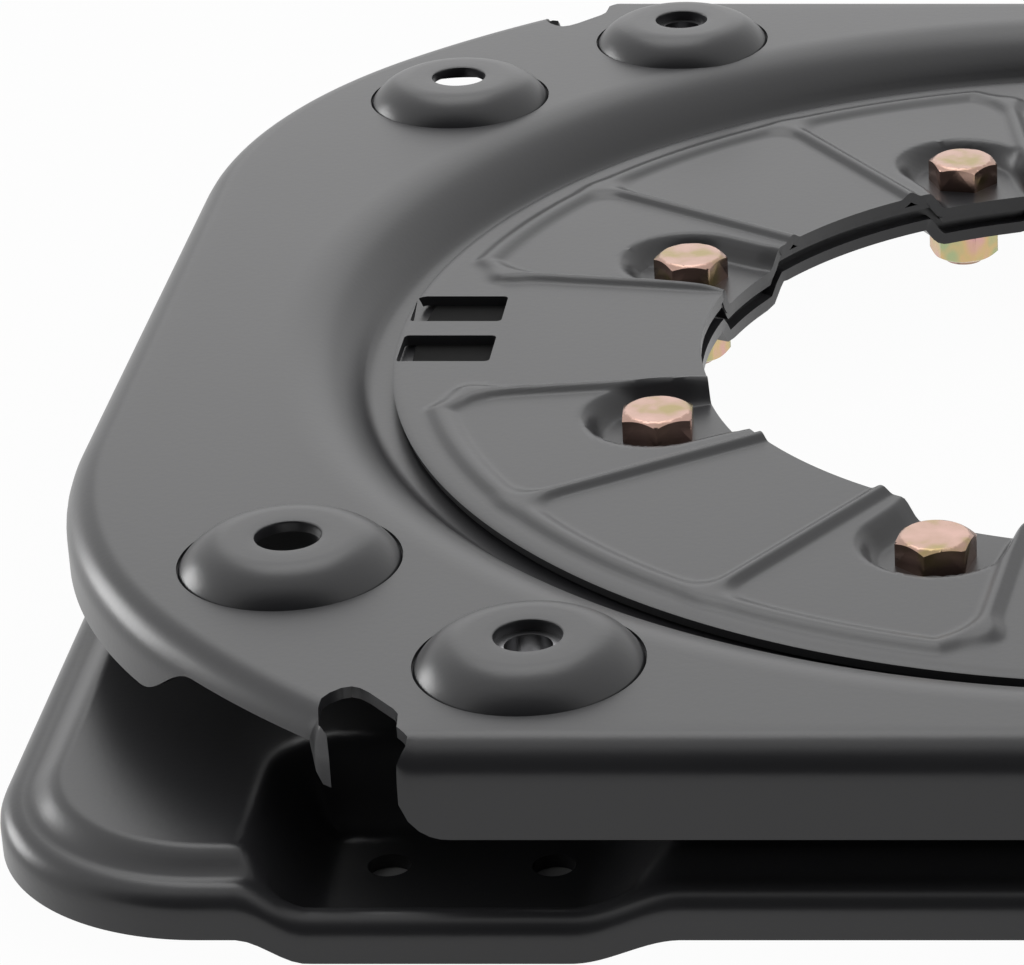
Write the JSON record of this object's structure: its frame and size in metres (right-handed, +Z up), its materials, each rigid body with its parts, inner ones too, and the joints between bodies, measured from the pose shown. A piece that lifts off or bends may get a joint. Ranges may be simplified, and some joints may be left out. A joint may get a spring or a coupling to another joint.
{
  "type": "swivel seat base",
  "caption": "Black pressed-steel swivel seat base for a camper seat: turning upper plate with four corner notches and domed bolt bosses, clamped over a footed lower plate by hex bolts",
  "frame": {"origin": "On the swivel axis, in the plane that the four feet stand on", "axes": "+X runs across the seat, to the right seen from the front; +Y runs to the rear; +Z is up, along the swivel axis"},
  "size_m": [0.482, 0.448, 0.055],
  "materials": {
    "black_paint": "satin black powder coat over pressed steel sheet",
    "zinc_yellow": "yellow-passivated zinc on steel",
    "bright_steel": "plain bright steel",
    "slide_plastic": "unfilled acetal slide ring",
    "grip_plastic": "moulded black PVC sleeve"
  },
  "bodies": {
    "base": {"lower_plate": "black_paint", "clamp_disc": "black_paint", "spacer_plate": "black_paint", "shim_ring": "black_paint", "lower_slide_ring": "slide_plastic", "upper_slide_ring": "slide_plastic", "bolt_1": "zinc_yellow", "bolt_2": "zinc_yellow", "bolt_3": "zinc_yellow", "bolt_4": "zinc_yellow", "bolt_5": "zinc_yellow", "bolt_6": "zinc_yellow", "bolt_7": "zinc_yellow", "bolt_8": "zinc_yellow", "washer_1": "black_paint", "washer_2": "black_paint", "washer_3": "black_paint", "washer_4": "black_paint", "washer_5": "black_paint", "washer_6": "black_paint", "washer_7": "black_paint", "washer_8": "black_paint", "nut_1": "zinc_yellow", "nut_2": "zinc_yellow", "nut_3": "zinc_yellow", "nut_4": "zinc_yellow", "nut_5": "zinc_yellow", "nut_6": "zinc_yellow", "nut_7": "zinc_yellow", "nut_8": "zinc_yellow"},
    "turntable": {"upper_plate": "black_paint", "weld_nut_1": "bright_steel", "weld_nut_2": "bright_steel", "weld_nut_3": "bright_steel", "weld_nut_4": "bright_steel", "pivot_stud": "bright_steel", "friction_washer": "bright_steel", "pivot_clip": "bright_steel"},
    "lever": {"lock_lever": "black_paint", "lever_grip": "grip_plastic"}
  },
  "joints": [
    {"name": "swivel", "type": "hinge", "parent": "base", "child": "turntable", "pos_m": [0, 0, 0.036], "axis": [0, 0, 1], "range_deg": [0, 180]},
    {"name": "lock", "type": "hinge", "parent": "turntable", "child": "lever", "pos_m": [0.224, 0.07, 0.02425], "axis": [0, 0, -1], "range_deg": [0, 6]}
  ]
}
